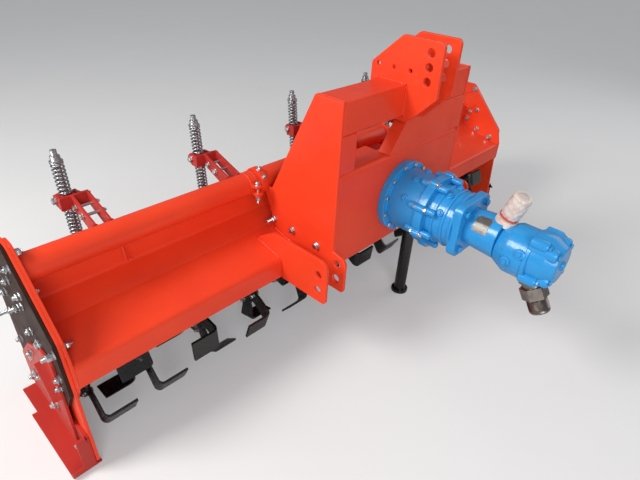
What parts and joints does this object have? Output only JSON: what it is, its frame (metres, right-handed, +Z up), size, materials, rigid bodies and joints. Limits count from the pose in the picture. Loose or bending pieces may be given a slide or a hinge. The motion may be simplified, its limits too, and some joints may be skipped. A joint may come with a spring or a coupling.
{
  "type": "tractor-mounted rotavator with hydraulic drive",
  "caption": "Orange three-point-linkage rotavator with a bladed rotor under a folded hood, a sprung tailboard, side skids and a blue hydraulic motor on its front.",
  "frame": {"origin": "on the ground under the middle of the machine's box", "axes": "+X across the machine along the rotor, +Y to the rear (the tractor is at -Y), +Z up"},
  "size_m": [2.45, 1.2604, 1.095],
  "materials": {
    "orange_paint": "gloss orange-red enamel",
    "case_paint": "dark brown paint",
    "blue_paint": "gloss blue enamel on castings",
    "black_steel": "black dip paint, scraped in places",
    "cap_plastic": "matt cream plastic",
    "zinc_steel": "bright zinc plate"
  },
  "bodies": {
    "frame": {"arm": "orange_paint", "bearing_plate": "orange_paint", "bevel_case": "orange_paint", "clevis": "orange_paint", "drive_adapter": "blue_paint", "drive_case": "case_paint", "front_panel": "orange_paint", "gusset": "orange_paint", "hinge_brackets": "orange_paint", "hinge_pin": "zinc_steel", "hood": "orange_paint", "hood_ends": "orange_paint", "leg_sleeve": "orange_paint", "main_tube": "orange_paint", "motor_barrel": "blue_paint", "motor_body": "blue_paint", "motor_cap": "blue_paint", "motor_flange": "blue_paint", "outer_ears": "orange_paint", "port_fitting": "zinc_steel", "port_plug": "cap_plastic", "reduction_housing": "blue_paint", "rotor_bearings": "orange_paint", "side_plate_left": "orange_paint", "side_plate_right": "orange_paint", "skid_left": "orange_paint", "skid_right": "orange_paint", "tower_left": "orange_paint", "tower_right": "orange_paint", "tube_clamps": "orange_paint", "tube_collars": "orange_paint", "yoke_arms": "orange_paint"},
    "rotor": {"rotor_tube": "black_steel", "rotor_flanges": "black_steel", "rotor_blades": "black_steel"},
    "tailboard": {"tailboard": "orange_paint", "board_knuckles": "orange_paint", "board_lugs": "orange_paint"},
    "trunnions": {"trunnions": "orange_paint", "upper_springs": "zinc_steel", "lower_springs": "zinc_steel"},
    "rods": {"spring_rods": "zinc_steel"},
    "stand": {"parking_leg": "black_steel"}
  },
  "joints": [
    {"name": "rotor_spin", "type": "hinge", "parent": "frame", "child": "rotor", "pos_m": [0, 0.31775, 0.213], "axis": [1, 0, 0], "continuous": true},
    {"name": "tailboard_lift", "type": "hinge", "parent": "frame", "child": "tailboard", "pos_m": [0, 0.37775, 0.476], "axis": [1, 0, 0], "range_deg": [0, 20]},
    {"name": "trunnion_tilt", "type": "hinge", "parent": "frame", "child": "trunnions", "pos_m": [0, 0.51325, 0.65], "axis": [1, 0, 0], "range_deg": [0, 1.6]},
    {"name": "rod_slide", "type": "slide", "parent": "trunnions", "child": "rods", "axis": [0, 0.0872, 0.9962], "range_m": [0, 0.04297], "deforming": ["upper_springs", "lower_springs"]},
    {"name": "stand_lift", "type": "slide", "parent": "frame", "child": "stand", "axis": [0, 0, 1], "range_m": [0, 0.15]}
  ],
  "couplings": [
    {"joint": "trunnion_tilt", "follows": "tailboard_lift", "ratio": 0.08},
    {"joint": "rod_slide", "follows": "tailboard_lift", "m_per_rad": 0.1231}
  ]
}
